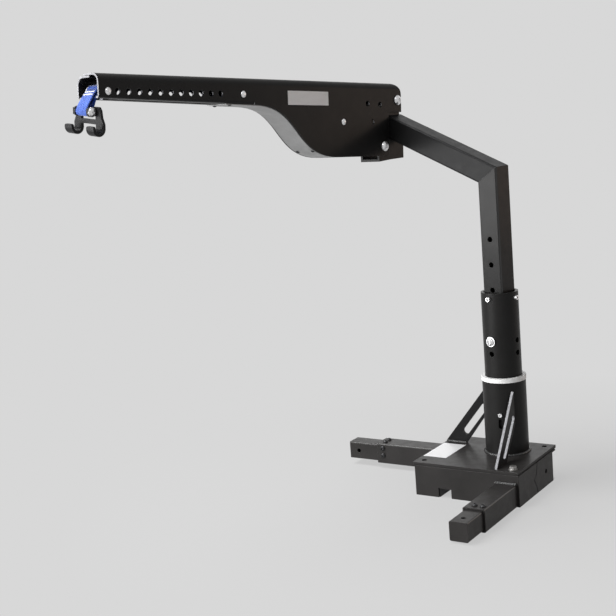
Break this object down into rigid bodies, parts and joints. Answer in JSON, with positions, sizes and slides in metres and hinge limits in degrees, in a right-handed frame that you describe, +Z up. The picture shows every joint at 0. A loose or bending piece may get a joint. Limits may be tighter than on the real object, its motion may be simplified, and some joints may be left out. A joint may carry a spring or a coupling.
{
  "type": "pedestal jib crane",
  "caption": "Compact swivelling hoist on a bolt-down box base: turning column, cranked square mast, tapered sheet steel boom and a webbing strap with a double hook",
  "frame": {"origin": "on the floor under the centre of the pedestal, on the mast's turning axis", "axes": "+X along the base's front edge to the viewer's right, +Y to the base's back, +Z up; the boom points 11 degrees left of -Y"},
  "size_m": [0.5238, 0.7799, 0.8595],
  "materials": {
    "black": "satin powder coat",
    "zinc": "bright zinc plate",
    "nylon": "natural nylon",
    "grey_steel": "satin grey",
    "webbing": "woven blue webbing",
    "label_white": "blank white film"
  },
  "bodies": {
    "base": {"base_box": "black", "base_box_rear": "black", "base_plate": "black", "floor_channel": "black", "rating_label": "label_white", "base_bolt": "zinc", "base_welds": "black", "gusset_left": "black", "gusset_front": "black", "pedestal_foot": "black", "pedestal_tube": "black", "upper_bush": "nylon", "lower_bush": "nylon", "thrust_washer": "nylon", "pedestal_lock": "zinc", "left_socket": "black", "front_socket": "black", "left_socket_screws": "zinc", "front_socket_screws": "black"},
    "left_leg": {"left_leg": "black", "left_leg_cap": "black"},
    "front_leg": {"front_leg": "black", "front_leg_cap": "black"},
    "swivel": {"swivel_tube": "black", "rim_screws": "zinc", "lock_bolt": "zinc"},
    "mast": {"mast_post": "black", "mast_arm": "black", "head_bracket": "black", "boom_near_shell": "black", "boom_far_shell": "black", "boom_cover": "grey_steel", "cover_screws": "zinc", "head_bolts": "zinc", "head_nuts": "zinc", "bolt_spacers": "zinc", "tip_pin": "zinc", "guide_pin": "zinc", "drum_pin": "zinc", "gearbox_case": "grey_steel", "drive_motor": "zinc", "strap_run": "webbing", "boom_label": "label_white"},
    "drum": {"strap_drum": "zinc", "strap_coil": "webbing"},
    "tip_roller": {"tip_roller": "nylon"},
    "guide_roller": {"guide_roller": "nylon"},
    "hoist": {"strap_loop": "webbing", "pin_sleeve": "zinc"},
    "hook": {"hook": "black", "hook_pin": "zinc", "hook_nut": "zinc"}
  },
  "joints": [
    {"name": "mast_swivel", "type": "hinge", "parent": "base", "child": "swivel", "pos_m": [0, 0, 0.2], "axis": [0, 0, 1], "range_deg": [-180, 180]},
    {"name": "mast_height", "type": "slide", "parent": "swivel", "child": "mast", "axis": [0, 0, 1], "range_m": [-0.15, 0.05]},
    {"name": "left_leg_slide", "type": "slide", "parent": "base", "child": "left_leg", "axis": [-1, 0, 0], "range_m": [-0.045, 0.06]},
    {"name": "front_leg_slide", "type": "slide", "parent": "base", "child": "front_leg", "axis": [0, -1, 0], "range_m": [-0.03, 0.06]},
    {"name": "hoist_travel", "type": "slide", "parent": "mast", "child": "hoist", "axis": [0, 0, -1], "range_m": [0, 0.6], "deforming": ["strap_loop"]},
    {"name": "drum_turn", "type": "hinge", "parent": "mast", "child": "drum", "pos_m": [-0.28771, -0.10704, 0.74183], "axis": [0.9816, -0.1908, 0], "range_deg": [-10, 1000]},
    {"name": "tip_roller_turn", "type": "hinge", "parent": "mast", "child": "tip_roller", "pos_m": [-0.39425, -0.65515, 0.82881], "axis": [0.9816, -0.1908, 0], "continuous": true},
    {"name": "guide_roller_turn", "type": "hinge", "parent": "mast", "child": "guide_roller", "pos_m": [-0.33752, -0.36331, 0.80854], "axis": [0.9816, -0.1908, 0], "continuous": true},
    {"name": "hook_swing", "type": "hinge", "parent": "hoist", "child": "hook", "pos_m": [-0.39998, -0.6846, 0.79931], "axis": [0.9743, -0.1894, -0.1219], "range_deg": [-60, 60]}
  ],
  "couplings": [
    {"joint": "drum_turn", "follows": "hoist_travel", "rad_per_m": 26.81},
    {"joint": "tip_roller_turn", "follows": "hoist_travel", "rad_per_m": 92.593},
    {"joint": "guide_roller_turn", "follows": "hoist_travel", "rad_per_m": 107.53}
  ]
}
